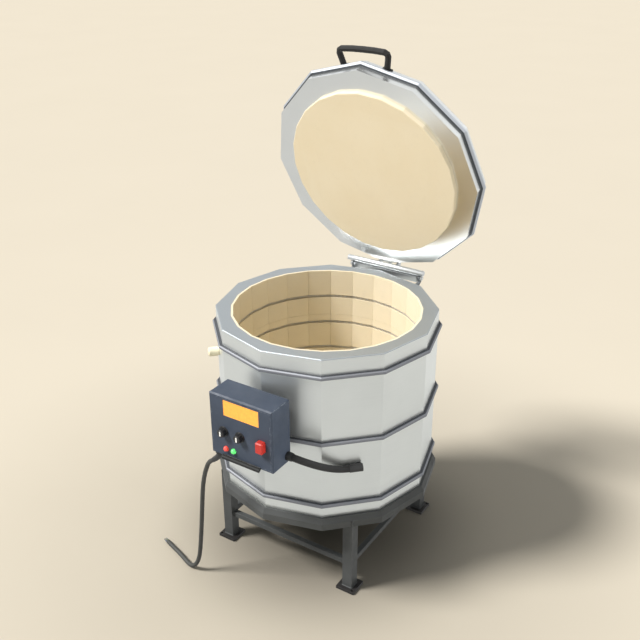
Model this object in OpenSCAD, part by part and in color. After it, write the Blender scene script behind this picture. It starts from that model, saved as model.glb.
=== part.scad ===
// Electric pottery kiln: a twelve-sided top-loading kiln on a steel stand,
// with a hinged lid, brick lining, heating elements and a control box.
// Millimetres. +Z is up, the floor is Z = 0 and the origin is under the kiln's axis.
// The control box faces -Y and the lid's hinge is at +Y.

/* [Body] */
// Radius to the corners of the chamber's brick faces
chamber_r = 295.5; // [266:0.5:326]
// Thickness of the wall at its corners, from the chamber to the jacket's outside
wall_t = 56.5; // [47:0.5:70]
// Thickness of the jacket's sheet steel
jacket_t = 1.2; // [0.8:0.1:2]
// Height of the body, from the stand to the rim
body_h = 545; // [500:1:600]
// Thickness of the hearth slab
hearth_t = 48; // [40:1:56]
// Thickness of the steel base pan
pan_t = 2; // [1:0.5:4]
// Thickness of the rim's steel cap
rim_t = 3; // [2:0.5:5]
// Width of the brick lip left bare inside the rim's cap
lip_w = 7; // [3:0.5:12]
// Gap between neighbouring bricks
brick_gap = 0.6; // [0.4:0.1:1]

/* [Bands] */
// Height of a tension band
band_h = 12.5; // [10:0.5:24]
// How far a band stands out at the corners
band_proud = 12; // [6:0.5:16]
// Chamfer along a band's edges
band_chamfer = 3; // [1:0.5:4]
// From the rim down to the top of the upper band
band_drop = 50.5; // [44:0.5:60]
// From the stand up to the bottom of the lower band
band_rise = 39.5; // [30:0.5:60]

/* [Heating elements] */
// Height of the lowest element above the hearth
element_rise = 103; // [90:1:110]
// From the rim down to the uppermost element
element_drop = 95; // [80:1:120]
// Outer radius of an element's coil
element_r = 4; // [3:0.25:5]
// Height of the groove that an element lies in
groove_h = 10; // [9.5:0.5:16]
// Depth of that groove
groove_d = 12.5; // [12:0.5:16]
// Radius of an element's straight tail
tail_r = 2.2; // [1.5:0.1:2.6]

/* [Peephole and thermocouple] */
// Height of the peephole above the lowest joint of the upper bricks
peep_rise = 24; // [18:0.5:40]
// Distance of the peephole from the middle of its side
peep_t = 45.6; // [38:0.2:52]
// Radius of the peephole
peep_r = 12; // [9:0.5:14]
// Radius of the plug's head
plug_head_r = 15; // [14.5:0.5:18]
// Length of the plug outside the jacket
plug_out = 35; // [20:1:45]
// Height of the thermocouple above the hearth
probe_rise = 127.5; // [112:0.5:150]
// Distance of the thermocouple from the middle of its side
probe_t = 20; // [9:0.5:30]
// Radius of the thermocouple's sheath
probe_r = 4; // [3:0.5:5]
// How far the sheath reaches into the chamber
probe_in = 45; // [25:1:60]

/* [Lid] */
// How far the lid's steel pan stands out past the jacket's corners
lid_over = 9; // [4:0.5:20]
// Thickness of the lid
lid_t = 61; // [52:1:80]
// Height of the band around the lid, above the lid's underside
lid_band_up = 26; // [14:1:30]
// Distance of that band's top below the lid's top
lid_band_down = 20; // [20:0.5:30]
// How far the lid's band stands out at the corners
lid_band_proud = 12; // [8:0.5:16]
// How far the brick disc stands out of the lid's underside
disc_out = 14; // [8:1:28]
// Thickness of the brick disc
disc_t = 36; // [28:1:40]
// Clearance between the brick disc and the chamber's wall
disc_gap = 2.5; // [1.5:0.5:12]
// How far the lid stands open, in degrees
lid_open = 71.5; // [0:0.5:91]
// Radius of the lid handle's bar
handle_r = 9.5; // [7:0.5:10]
// Width of the handle between its feet
handle_w = 148; // [110:1:170]
// How far the handle stands out from the lid's band
handle_out = 40; // [30:0.5:60]

/* [Hinge] */
// Distance of the hinge pin behind the jacket's rear corner
pin_back = 34; // [30:1:44]
// Distance of the hinge pin below the rim
pin_drop = 11; // [9:0.5:14]
// Radius of the hinge pin
pin_r = 6; // [4:0.5:7]
// Length of the lid's hinge bar
bar_len = 295; // [250:1:310]
// Thickness of the bracket's ears
ear_t = 8; // [5:0.5:12]

/* [Control box] */
// Width of the control box
box_w = 223; // [216:1:250]
// Height of the control box
box_h = 206; // [200:1:230]
// Depth of the control box
box_d = 89; // [80:1:110]
// Height of the box's underside above the stand
box_rise = 224.5; // [200:0.5:250]
// Space between the box and the jacket's front corner
box_gap = 16; // [14:0.5:40]
// Thickness of the box's sheet metal
box_t = 2; // [1:0.5:3]
// Width of the frame around the front panel
frame_w = 8; // [6:0.5:12]
// Radius of a control knob
knob_r = 17; // [12:0.5:19]
// How far the knobs stand out of the panel
knob_out = 18; // [12:0.5:26]
// Distance between the two knobs
knob_gap = 58.5; // [52:0.5:66]
// Radius of an indicator lamp
lamp_r = 8.5; // [5:0.5:10]
// Width of the red power button
button_w = 25; // [16:0.5:30]
// Height of the red power button
button_h = 36; // [24:0.5:40]
// How far the power button stands out of the panel
button_out = 18; // [10:0.5:24]
// Travel of the power button
button_travel = 6; // [3:0.5:8]
// Width of the display window
display_w = 126; // [100:1:130]
// Height of the display window
display_h = 52; // [40:1:56]

/* [Stand] */
// Height of the stand's top above the floor
stand_h = 292; // [240:1:360]
// How far the stand's ring stands out past the jacket's corners
ledge = 17.5; // [12:0.5:40]
// Height of the ring's skirt
skirt_h = 38; // [28:1:60]
// How far the slope along the ring's top edge goes in
ring_bevel = 9; // [4:0.5:12]
// Height of the slope along the ring's top edge
ring_drop = 16; // [8:1:20]
// Thickness of the ring's steel
ring_t = 6; // [3:0.5:8]
// Width of the ring's flat shelf at its corners
shelf_w = 70; // [60:1:110]
// Width of a leg's square tube
leg_w = 34.5; // [24:0.5:42]
// Wall of a leg's tube
leg_wall = 2.5; // [1.5:0.5:4]
// Width of a crossbar's square tube
cross_w = 18; // [12:1:24]
// Height of the crossbars above the floor
cross_z = 98; // [60:1:180]
// Width of a foot plate
foot_w = 64; // [58:1:100]
// Thickness of a foot plate
foot_t = 10; // [6:0.5:14]
// Diameter of the anchor hole in a foot plate
anchor_d = 8; // [6:0.5:11]

/* [Cords] */
// Diameter of the power cord
cord_d = 14; // [9:0.5:16]
// Diameter of the thermocouple's conduit
conduit_d = 22; // [16:0.5:24]

/* [Hidden] */
$fn = 48;
sides = 12;
half_side = 180 / sides;
// Distance to a side's middle, as a share of the distance to its corner
flat = cos(half_side);
slope = tan(half_side);
// Small gaps: pieces of one body, pieces that move past each other, a running fit
seat = 0.2;
slip = 0.4;
running = 0.05;
faces = 2 * sides;
face_step = 360 / faces;
eps = 1;

jacket_r = chamber_r + wall_t;
rim_z = stand_h + body_h;
hearth_z = stand_h + pan_t + hearth_t;
brick_top = rim_z - seat;
courses = 3;
course_h = (brick_top - hearth_z) / courses;
inner_r = jacket_r - jacket_t / flat;
brick_r = inner_r - seat;
cap_inner_r = chamber_r + lip_w;

elements = 4;
tail_step = 6;
tail_x = [for (e = [0 : elements - 1]) tail_step * (e + 1)];
element_pitch = (rim_z - element_drop - hearth_z - element_rise) / (elements - 1);
element_z = [for (e = [0 : elements - 1]) hearth_z + element_rise + e * element_pitch];
element_line_r = chamber_r + element_r + 0.5;
chase_w = 2 * (tail_step * elements + 4);
chase_d = 16;
tail_line_y = -(brick_r - chase_d / 2 - 1);
body_standard = 545;
box_z = stand_h + box_rise * body_h / body_standard;
terminal_rise = 78;
terminal_z = box_z + terminal_rise;
terminal_h = 17;
terminal_w = chase_w + 10;

pin_y = jacket_r + pin_back;
pin_z = rim_z - pin_drop;
lid_z = rim_z + slip;
lid_r = jacket_r + lid_over;
lid_band_r = lid_r + lid_band_proud;
lid_band_h = lid_t - lid_band_up - lid_band_down;
lid_band_chamfer = 0.34 * lid_band_h;
disc_r = chamber_r - disc_gap;
bar_over = 24;
knuckle_half = bar_len / 2 - bar_over;
ear_x = knuckle_half + 3;
bracket_t = 3;
leaf_t = 3;
bead_r = 9.3;
bead_clear = 0.8;
bead_y = jacket_r + bead_clear + bead_r;
bead_z = pin_z - 1.5;
bracket_low = rim_z - band_drop + 5.5;
bracket_high = bead_z - bead_r - 1;
knuckle_r = pin_r + 6;

box_back = -(jacket_r + box_gap);
box_front = box_back - box_d;
box_top = box_z + box_h;
box_chamfer = 4;
panel_t = 3;
panel_w = box_w - 2 * frame_w;
panel_h = box_h - 2 * frame_w;
panel_back = box_front + panel_t;
display_x = 2;
housing_lip = 4;
display_z = box_top - frame_w - housing_lip - 0.5 - display_h / 2;
display_in = 1.2;
display_t = 2;
knob_z = box_z + 87;
knob_in = 41.5;
knob_x = [-panel_w / 2 + knob_in, -panel_w / 2 + knob_in + knob_gap];
pointer_w = 4.6;
pointer_len = 15;
pointer_in = 3;
pointer_proud = 0.4;
shaft_r = 3;
pot_r = 12;
pot_d = 20;
button_from_edge = 29.5;
button_x = panel_w / 2 - button_from_edge;
button_z = box_z + 84;
button_in = 10;
lamp_z = box_z + 30;
lamp_in = 48;
lamp_gap = 27;
red_lamp_x = -panel_w / 2 + lamp_in;
green_lamp_x = red_lamp_x + lamp_gap;
standoff_r = 7;
standoff_in = 49.5;
standoff_x = box_w / 2 - standoff_in;
plate_t = 2.5;
plate_low = (rim_z - band_drop + stand_h + band_rise + band_h) / 2 + 3;
plate_high = box_top - 50;
standoff_z = [plate_low + 16, plate_high - 20];
vent_w = 136;
vent_out = 11;
vent_top = box_z + 9;
vent_h = 12.5;

peep_z = hearth_z + (courses - 1) * course_h + peep_rise;
probe_z = hearth_z + probe_rise;
peep_angle = 225;
probe_angle = -45;
probe_off = conduit_d / 2 + 3;
socket_wall = 1.5;
elbow_r = conduit_d / 2 + socket_wall + 0.5;
socket_len = 30;
conduit_y = box_back - 19;
conduit_z = box_z + 26;
gland_len = 18;

stand_r = jacket_r + ledge;
leg_proud = 3;
leg_at = stand_r * flat / sqrt(2) - leg_w / 2 + leg_proud;
anchor_at = leg_at + (foot_w + leg_w) / 4;
skirt_top = stand_h - ring_drop - 1;
leg_top = skirt_top - seat;

// The strain relief's bend below the control box, and the power cord's route from its end
// to the floor and along the floor
relief_in = 16.5;
relief_x = -box_w / 2 + relief_in;
relief_y = box_front + 17;
relief_bend = [[0, 0, -5], [-2, 0, -14.5], [-8, 0, -24.5], [-17, 0, -34.5], [-28, 0, -44.5]];
cord_start = [relief_x, relief_y, box_z] + relief_bend[len(relief_bend) - 1];
cord_route = [
  cord_start, [-141.7, -440, 455], [-154, -441, 428], [-163.5, -442, 396], [-170.5, -443, 360],
  [-176, -443, 320], [-180.5, -443, 280], [-185, -443, 240], [-189.5, -443, 200], [-194.5, -443, 160],
  [-199.5, -443, 122], [-204.5, -443.5, 88], [-210.5, -445, 58], [-220, -447, 33], [-234, -447, 16.5],
  [-252, -444.5, 8.6], [-275, -436.5, 7.2], [-303, -426, 7.2], [-331, -416, 7.2], [-360, -407, 7.2],
  [-392, -396, 7.2]
];
core_len = 20;
core_r = 2;

// Helpers

function dir(a) = [cos(a), sin(a)];

function unit(v) = v / norm(v);

// Distance from the axis to the wall of a twelve-sided shape at an angle
function wall_at(r, a) = r * flat / cos((a % (2 * half_side)) - half_side);

function tangent(path, i) =
  i == 0 ? unit(path[1] - path[0])
  : i == len(path) - 1 ? unit(path[i] - path[i - 1])
  : unit(unit(path[i + 1] - path[i]) + unit(path[i] - path[i - 1]));

// A point of a ring of a swept tube: side k of n at path point i
function ring_point(path, radius, n, side_axis, i, k) =
  let (
    t = tangent(path, i),
    u = unit(cross(side_axis, t)),
    v = cross(t, u)
  )
  path[i] + radius * (cos(360 * k / n) * u + sin(360 * k / n) * v);

// A round tube swept along a path, with one radius for each point
module tube(path, radii, n, side_axis) {
  rings = len(path);
  points = [
    for (i = [0 : rings - 1], k = [0 : n - 1])
      ring_point(path, radii[i], n, side_axis, i, k)
  ];
  walls = [
    for (i = [0 : rings - 2], k = [0 : n - 1], half = [0, 1])
      let (a = i * n + k, b = i * n + (k + 1) % n)
      half == 0 ? [a, a + n, b] : [b, a + n, b + n]
  ];
  first = [for (k = [0 : n - 1]) k];
  last = [for (k = [n - 1 : -1 : 0]) (rings - 1) * n + k];
  polyhedron(points, concat(walls, [first], [last]));
}

function same(path, r) = [for (p = path) r];

function bezier(p, t) =
  pow(1 - t, 3) * p[0] + 3 * t * pow(1 - t, 2) * p[1] + 3 * t * t * (1 - t) * p[2] + pow(t, 3) * p[3];

module twelve(r, h) {
  cylinder(r = r, h = h, $fn = sides);
}

// A prism with as many flat faces as the brick lining
module faced(r, h) {
  linear_extrude(h) polygon([for (k = [0 : faces - 1]) r * dir(k * face_step)]);
}

// A plate bent over a corner of a twelve-sided shape, at +Y
module bent_plate(r, t, half_w, low, high) {
  out = r + t / flat;
  translate([0, 0, low])
    linear_extrude(high - low)
      polygon([
        [-half_w, r - half_w * slope], [0, r], [half_w, r - half_w * slope],
        [half_w, out - half_w * slope], [0, out], [-half_w, out - half_w * slope]
      ]);
}

// A hexagon-headed bolt that stands out of a side at an angle, t along the side
module side_bolt(r, a, t, z, head_r, head_h) {
  rotate([0, 0, a])
    translate([r * flat, t, z])
      rotate([0, 90, 0])
        union() {
          cylinder(r = head_r, h = head_h, $fn = 6);
          cylinder(r = head_r + 2, h = 1.2);
        }
}

// A band around a twelve-sided wall, with chamfered edges
module band(r, proud, h, c, z) {
  translate([0, 0, z])
    rotate_extrude($fn = sides)
      polygon([
        [r + seat, 0], [r + proud - c, 0], [r + proud, c],
        [r + proud, h - c], [r + proud - c, h], [r + seat, h]
      ]);
}

module block(x, y, z) {
  translate([x[0], y[0], z[0]])
    cube([x[1] - x[0], y[1] - y[0], z[1] - z[0]]);
}

// A rectangle with its corners cut off
module cut_corners(a, b, c) {
  polygon([
    [a[0] + c, b[0]], [a[1] - c, b[0]], [a[1], b[0] + c], [a[1], b[1] - c],
    [a[1] - c, b[1]], [a[0] + c, b[1]], [a[0], b[1] - c], [a[0], b[0] + c]
  ]);
}

// A box with all its edges chamfered
module chamfered(x, y, z, c) {
  side = c * sqrt(2);
  difference() {
    translate([0, y[1], 0]) rotate([90, 0, 0]) linear_extrude(y[1] - y[0]) cut_corners(x, z, c);
    for (ex = x, ey = y)
      translate([ex, ey, z[0] - c])
        linear_extrude(z[1] - z[0] + 2 * c)
          rotate(45)
            square(side, center = true);
    for (ez = z, ey = y)
      translate([x[0] - c, ey, ez])
        rotate([0, 90, 0])
          linear_extrude(x[1] - x[0] + 2 * c)
            rotate(45)
              square(side, center = true);
  }
}

// A cylinder that stands out of the control panel, from y0 towards the front
module forward(x, y0, z, r, h, r2 = undef) {
  translate([x, y0, z])
    rotate([90, 0, 0])
      cylinder(r1 = r, r2 = is_undef(r2) ? r : r2, h = h);
}

// Moves the closed lid to where it stands open
module opened() {
  translate([0, pin_y, pin_z])
    rotate([-lid_open, 0, 0])
      translate([0, -pin_y, -pin_z])
        children();
}

// Places a piece on the thermocouple's axis, with Z out of the jacket's side
module at_probe() {
  rotate([0, 0, probe_angle])
    translate([jacket_r * flat, probe_t, probe_z])
      rotate([0, 90, 0])
        children();
}

// Places a piece on the peephole's axis, with Z out of the jacket's side
module at_peep() {
  rotate([0, 0, peep_angle])
    translate([jacket_r * flat, -peep_t, peep_z])
      rotate([0, 90, 0])
        children();
}

// Stand

module stand_ring() {
  low = stand_h - skirt_h;
  skirt_in = stand_r - ring_t / flat;
  color("dimgray")
    difference() {
      rotate_extrude($fn = sides)
        polygon([
          [stand_r - shelf_w, stand_h - ring_t], [skirt_in - ring_bevel, stand_h - ring_t],
          [skirt_in - ring_bevel, skirt_top], [skirt_in, skirt_top], [skirt_in, low], [stand_r, low],
          [stand_r, stand_h - ring_drop], [stand_r - ring_bevel, stand_h], [stand_r - shelf_w, stand_h]
        ]);
      // The skirt is cut away where a leg's corner comes through it
      at_legs()
        translate([0, 0, low - eps])
          linear_extrude(skirt_top - low + eps)
            square(leg_w + 2 * seat, center = true);
    }
}

module at_legs() {
  for (sx = [-1, 1], sy = [-1, 1])
    translate([sx * leg_at, sy * leg_at, 0])
      children();
}

module square_tube(w, wall, h) {
  linear_extrude(h)
    difference() {
      square(w, center = true);
      square(w - 2 * wall, center = true);
    }
}

module stand_legs() {
  color("dimgray")
    at_legs()
      translate([0, 0, foot_t]) square_tube(leg_w, leg_wall, leg_top - foot_t);
}

module stand_crossbars() {
  span = 2 * leg_at - leg_w;
  color("dimgray")
    for (a = [0, 90, 180, 270])
      rotate([0, 0, a])
        translate([-span / 2, -leg_at, cross_z])
          rotate([0, 90, 0])
            square_tube(cross_w, leg_wall, span);
}

module foot_plates() {
  color([0.2, 0.2, 0.19])
    difference() {
      at_legs()
        translate([-foot_w / 2, -foot_w / 2, 0]) cube([foot_w, foot_w, foot_t]);
      for (sx = [-1, 1], sy = [-1, 1])
        translate([sx * anchor_at, sy * anchor_at, -eps])
          cylinder(d = anchor_d, h = foot_t + 2 * eps);
    }
}

// Body

module base_pan() {
  color("silver")
    translate([0, 0, stand_h]) twelve(inner_r - seat, pan_t);
}

module hearth_slab() {
  color("wheat")
    translate([0, 0, stand_h + pan_t]) twelve(brick_r, hearth_t);
}

// One brick of the lining: a wedge between two joints, from the chamber to the jacket
module brick_blank(k, low, high) {
  a = k * face_step;
  b = a + face_step;
  in_a = asin(brick_gap / 2 / chamber_r);
  out_a = asin(brick_gap / 2 / brick_r);
  translate([0, 0, low])
    linear_extrude(high - low)
      polygon([
        chamber_r * dir(a + in_a),
        wall_at(brick_r, a + out_a) * dir(a + out_a),
        wall_at(brick_r, b - out_a) * dir(b - out_a),
        chamber_r * dir(b - in_a)
      ]);
}

// The groove for an element across one brick's inner face
module groove(k, z) {
  rotate([0, 0, (k + 0.5) * face_step])
    translate([0, -chamber_r / 2, z - groove_h / 2])
      cube([chamber_r * cos(face_step / 2) + groove_d, chamber_r, groove_h]);
}

// The upright channel behind the front bricks, and the slots that lead the tails to it
module tail_chase() {
  block(
    [-chase_w / 2, chase_w / 2], [-jacket_r, -(brick_r - chase_d)],
    [element_z[0] - 6, element_z[elements - 1] + 6]
  );
  for (e = [0 : elements - 1])
    block([-chase_w / 2, chase_w / 2], [-jacket_r, -chamber_r / 2], [element_z[e] - 5, element_z[e] + 5]);
}

// The step around the top of the upper bricks that the rim cap lies in, outside their lip
module rim_step() {
  translate([0, 0, rim_z - rim_t - seat])
    difference() {
      twelve(2 * jacket_r, rim_t + eps);
      translate([0, 0, -eps]) faced(cap_inner_r - seat, rim_t + 3 * eps);
    }
}

module brick(k, low, high) {
  front = k == faces * 3 / 4 || k == faces * 3 / 4 - 1;
  peep = k == peep_angle / face_step - 1;
  probe = k == (360 + probe_angle) / face_step;
  difference() {
    brick_blank(k, low, high);
    for (z = element_z)
      if (z + groove_h / 2 > low && z - groove_h / 2 < high) groove(k, z);
    if (high > rim_z - rim_t) rim_step();
    if (front) tail_chase();
    if (peep)
      at_peep() translate([0, 0, -jacket_r / 2]) cylinder(r = peep_r, h = jacket_r);
    if (probe)
      at_probe() translate([0, 0, -jacket_r / 2]) cylinder(r = probe_r + 1, h = jacket_r);
  }
}

module course(i) {
  gap = i == 0 ? 0 : brick_gap;
  low = hearth_z + i * course_h + gap;
  color("wheat")
    for (k = [0 : faces - 1])
      brick(k, low, hearth_z + (i + 1) * course_h);
}

module lower_bricks() {
  course(0);
}

module middle_bricks() {
  course(1);
}

module upper_bricks() {
  course(2);
}

module jacket() {
  color([0.77, 0.78, 0.76])
    difference() {
      translate([0, 0, stand_h]) twelve(jacket_r, body_h - rim_t - seat);
      translate([0, 0, stand_h - eps]) twelve(inner_r, body_h + 2 * eps);
      at_peep() translate([0, 0, -peep_r]) cylinder(r = peep_r, h = 2 * peep_r);
      at_probe() translate([0, 0, -peep_r]) cylinder(r = probe_r + 1, h = 2 * peep_r);
      block(
        [-terminal_w / 2 - slip, terminal_w / 2 + slip], [-2 * jacket_r, -jacket_r / 2],
        [terminal_z - terminal_h / 2 - slip, terminal_z + terminal_h / 2 + slip]
      );
    }
}

upper_top = rim_z - band_drop;
lower_top = stand_h + band_rise + band_h;
band_tops = [upper_top, (upper_top + lower_top) / 2, lower_top];

// The lap where the jacket's sheet is joined, in the gaps between the bands
module jacket_seam() {
  lap_w = 26;
  lap_t = 1;
  clear = 3;
  seam_angle = 135;
  edges = concat([stand_h - band_h], [band_tops[2], band_tops[1], band_tops[0]], [rim_z - rim_t]);
  color("silver")
    rotate([0, 0, seam_angle])
      for (i = [0 : 3]) {
        low = i == 0 ? stand_h + clear : edges[i] + clear;
        high = i == 3 ? edges[4] - clear : edges[i + 1] - band_h - clear;
        translate([jacket_r * flat, -lap_w / 2, low]) cube([lap_t, lap_w, high - low]);
      }
}

module rim_cap() {
  chamfer = 2;
  color("silver")
    difference() {
      union() {
        translate([0, 0, rim_z - rim_t]) twelve(jacket_r, rim_t - chamfer);
        translate([0, 0, rim_z - chamfer])
          linear_extrude(chamfer, scale = (jacket_r - chamfer) / jacket_r)
            circle(r = jacket_r, $fn = sides);
      }
      translate([0, 0, rim_z - rim_t - eps]) faced(cap_inner_r, rim_t + 2 * eps);
    }
}

module lower_band() {
  color("slategray") band(jacket_r, band_proud, band_h, band_chamfer, band_tops[2] - band_h);
}

module middle_band() {
  color("slategray") band(jacket_r, band_proud, band_h, band_chamfer, band_tops[1] - band_h);
}

module upper_band() {
  color("slategray") band(jacket_r, band_proud, band_h, band_chamfer, band_tops[0] - band_h);
}

// Two lugs and a tension screw on each band, on a side at the back
module band_clamps() {
  lug_t = 6;
  lug_gap = 26;
  lug_out = 14;
  screw_r = 2.5;
  screw_len = 64;
  lug_h = band_h - 1;
  face = (jacket_r + band_proud) * flat;
  clamp_angle = 135;
  color("silver")
    rotate([0, 0, clamp_angle])
      for (top = band_tops) {
        translate([face + lug_out / 2 + 1, -screw_len / 2, top - band_h / 2])
          rotate([-90, 0, 0])
            union() {
              cylinder(r = screw_r, h = screw_len);
              cylinder(r = screw_r + 2, h = 4, $fn = 6);
            }
        for (s = [-1, 1])
          difference() {
            translate([face + seat, s * lug_gap / 2 - lug_t / 2, top - band_h / 2 - lug_h / 2])
              cube([lug_out, lug_t, lug_h]);
            translate([face + lug_out / 2 + 1, -screw_len, top - band_h / 2])
              rotate([-90, 0, 0])
                cylinder(r = screw_r + running, h = 2 * screw_len);
          }
      }
}

// Heating elements: a coil's outline around the chamber and its two straight tails

function element_path(e) =
  let (
    r = element_line_r,
    x = tail_x[e],
    z = element_z[e],
    y = -r + x * tan(face_step / 2),
    far = box_back - 24,
    tail = [[x, far, terminal_z], [x, tail_line_y, terminal_z], [x, tail_line_y, z], [x, y, z]],
    coil = [for (k = [1 : faces - 1]) let (p = r * dir(-90 + k * face_step)) [p[0], p[1], z]]
  )
  concat(
    tail,
    [[x + 12, y + 12 * tan(face_step / 2), z]],
    coil,
    [[-x - 12, y + 12 * tan(face_step / 2), z]],
    [for (i = [3 : -1 : 0]) [-tail[i][0], tail[i][1], tail[i][2]]]
  );

module element(e) {
  path = element_path(e);
  last = len(path) - 1;
  radii = [for (i = [0 : last]) i < 4 || i > last - 4 ? tail_r : element_r];
  // The side axis leans, so that no stretch of the path runs along it
  color("dimgray") tube(path, radii, 8, [0.28, 0.24, 0.93]);
}

module element_1() {
  element(0);
}

module element_2() {
  element(1);
}

module element_3() {
  element(2);
}

module element_4() {
  element(3);
}

// The ceramic block that brings the tails through the jacket into the box
module terminal_block() {
  inner_y = -(brick_r - chase_d) - 5;
  outer_y = box_back - 18;
  color("ivory")
    difference() {
      block(
        [-terminal_w / 2, terminal_w / 2], [outer_y, -jacket_r + 1],
        [terminal_z - terminal_h / 2, terminal_z + terminal_h / 2]
      );
      block(
        [-chase_w / 2, chase_w / 2], [-jacket_r - 4, inner_y],
        [terminal_z - 4, terminal_z + 4]
      );
      for (x = tail_x, s = [-1, 1])
        forward(s * x, inner_y, terminal_z, tail_r + 0.4, 2 * box_d);
      // The block's inner face follows the jacket's corner
      translate([0, 0, terminal_z - terminal_h]) twelve(inner_r + jacket_t, 2 * terminal_h);
    }
}

// Peephole plug: a tapered shank in the brick and a head outside

module peephole_plug() {
  shank = (jacket_r - chamber_r) * 0.8;
  color("ivory")
    at_peep()
      union() {
        translate([0, 0, -shank])
          cylinder(r1 = peep_r - 2.5, r2 = peep_r - slip, h = shank + slip + eps);
        translate([0, 0, slip]) cylinder(r = plug_head_r - 2, h = 6);
        translate([0, 0, slip + 5]) cylinder(r = plug_head_r, h = plug_out - 9);
        translate([0, 0, slip + plug_out - 4])
          cylinder(r1 = plug_head_r, r2 = plug_head_r - 4, h = 4);
      }
}

// Thermocouple, its head on the jacket's side, and the conduit to the control box

module thermocouple() {
  reach = jacket_r * flat - chamber_r * cos(face_step / 2) + probe_in;
  color("ivory")
    at_probe()
      translate([0, 0, -reach])
        union() {
          cylinder(r = probe_r, h = reach + 6);
          sphere(r = probe_r);
        }
}

module thermocouple_head() {
  flange_r = 11;
  stub_r = 9;
  cap_out = 10;
  color([0.2, 0.2, 0.2])
    at_probe()
      difference() {
        union() {
          translate([0, 0, seat]) cylinder(r = flange_r, h = 3);
          translate([0, 0, seat]) cylinder(r = stub_r, h = probe_off);
          translate([0, cap_out, probe_off])
            rotate([90, 0, 0])
              cylinder(r = conduit_d / 2 + socket_wall, h = cap_out + socket_len);
        }
        translate([0, 0, -eps]) cylinder(r = probe_r + running, h = 7 + eps);
        translate([0, -elbow_r - 4, probe_off])
          rotate([90, 0, 0])
            cylinder(r = conduit_d / 2 + running, h = socket_len);
      }
}

// The conduit's two ends and how it bends between them
conduit_start = [box_w / 2 + 4, conduit_y, conduit_z];
conduit_out = [box_w / 2 + gland_len + 2, conduit_y, conduit_z];
side_dir = [cos(probe_angle + 90), sin(probe_angle + 90), 0];
side_normal = [cos(probe_angle), sin(probe_angle), 0];
socket_at = side_normal * (jacket_r * flat + probe_off) + [0, 0, probe_z];
conduit_end = socket_at + side_dir * (probe_t - elbow_r - 6);
conduit_in = socket_at + side_dir * (probe_t - socket_len - 1);
conduit_pull = 60;
conduit_bends = [
  conduit_out, conduit_out + [conduit_pull, 0, 0], conduit_in - side_dir * conduit_pull, conduit_in
];
conduit_steps = 12;

module conduit() {
  path = concat(
    [conduit_start],
    [for (i = [0 : conduit_steps]) bezier(conduit_bends, i / conduit_steps)],
    [conduit_end]
  );
  color([0.2, 0.2, 0.2]) tube(path, same(path, conduit_d / 2 - seat), 12, [0, 0, 1]);
}

module conduit_gland() {
  nut_r = conduit_d / 2 + 3;
  color([0.15, 0.15, 0.15])
    translate([box_w / 2, conduit_y, conduit_z])
      rotate([0, 90, 0])
        difference() {
          union() {
            translate([0, 0, seat]) cylinder(r = nut_r, h = 8, $fn = 6);
            translate([0, 0, 8]) cylinder(r1 = nut_r - 0.5, r2 = conduit_d / 2 + 1.5, h = gland_len - 8);
          }
          translate([0, 0, 4 - running]) cylinder(r = conduit_d / 2 + running, h = gland_len);
        }
}

// Hinge, fixed half

module hinge_bracket() {
  reach = ear_x + ear_t + 12;
  color("silver")
    difference() {
      union() {
        bent_plate(jacket_r + seat, bracket_t, reach, bracket_low, bracket_high);
        for (s = [-1, 1]) {
          x = s > 0 ? [ear_x, ear_x + ear_t] : [-ear_x - ear_t, -ear_x];
          block(x, [jacket_r + 1 - ear_x * slope, pin_y], [bracket_low, bracket_high]);
          block(x, [pin_y - pin_r - 4, pin_y + pin_r + 4], [bracket_low, pin_z]);
          translate([x[0], pin_y, pin_z]) rotate([0, 90, 0]) cylinder(r = pin_r + 4, h = ear_t);
        }
      }
      // The ears' lower rear corners are cut away
      for (s = [-1, 1])
        translate([s * (ear_x + ear_t / 2), pin_y + pin_r + 4, bracket_low])
          rotate([30, 0, 0])
            cube([2 * ear_t, 60, 40], center = true);
      translate([-box_w, pin_y, pin_z]) rotate([0, 90, 0]) cylinder(r = pin_r + running, h = 2 * box_w);
    }
}

module bracket_bolts() {
  color("gray")
    for (a = [75, 105], t = [-24, 42])
      side_bolt(jacket_r + (bracket_t + 2 * seat) / flat, a, t * sign(90 - a), (bracket_low + bracket_high) / 2, 6, 5);
}

module hinge_pin() {
  end = ear_x + ear_t;
  color("silver")
    translate([-end - 6, pin_y, pin_z])
      rotate([0, 90, 0])
        union() {
          cylinder(r = pin_r, h = 2 * end + 12);
          cylinder(r = pin_r + 3, h = 6 - seat);
          translate([0, 0, 2 * end + 6 + seat]) cylinder(r = pin_r + 3, h = 3);
        }
}

// Lid, drawn closed and then opened

module lid_pan() {
  color([0.77, 0.78, 0.76])
    opened()
      difference() {
        translate([0, 0, lid_z]) twelve(lid_r, lid_t - jacket_t - seat);
        translate([0, 0, lid_z + jacket_t]) twelve(lid_r - jacket_t / flat, lid_t);
        translate([0, 0, lid_z - eps]) faced(disc_r + slip, lid_t);
      }
}

module lid_cover() {
  turn = 3;
  color([0.77, 0.78, 0.76])
    opened()
      translate([0, 0, lid_z + lid_t - jacket_t])
        union() {
          twelve(lid_r, jacket_t);
          translate([0, 0, jacket_t])
            linear_extrude(turn, scale = (lid_r - 40) / (lid_r - 20))
              circle(r = lid_r - 20, $fn = sides);
        }
}

module lid_band() {
  color("slategray")
    opened()
      band(lid_r, lid_band_proud, lid_band_h, lid_band_chamfer, lid_z + lid_band_up);
}

module lid_brick() {
  bevel = 2;
  color("wheat")
    opened()
      union() {
        translate([0, 0, lid_z - disc_out + bevel]) faced(disc_r, disc_t - bevel);
        translate([0, 0, lid_z - disc_out + bevel])
          mirror([0, 0, 1])
            linear_extrude(bevel, scale = (disc_r - bevel) / disc_r)
              polygon([for (k = [0 : faces - 1]) disc_r * dir(k * face_step)]);
      }
}

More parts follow.
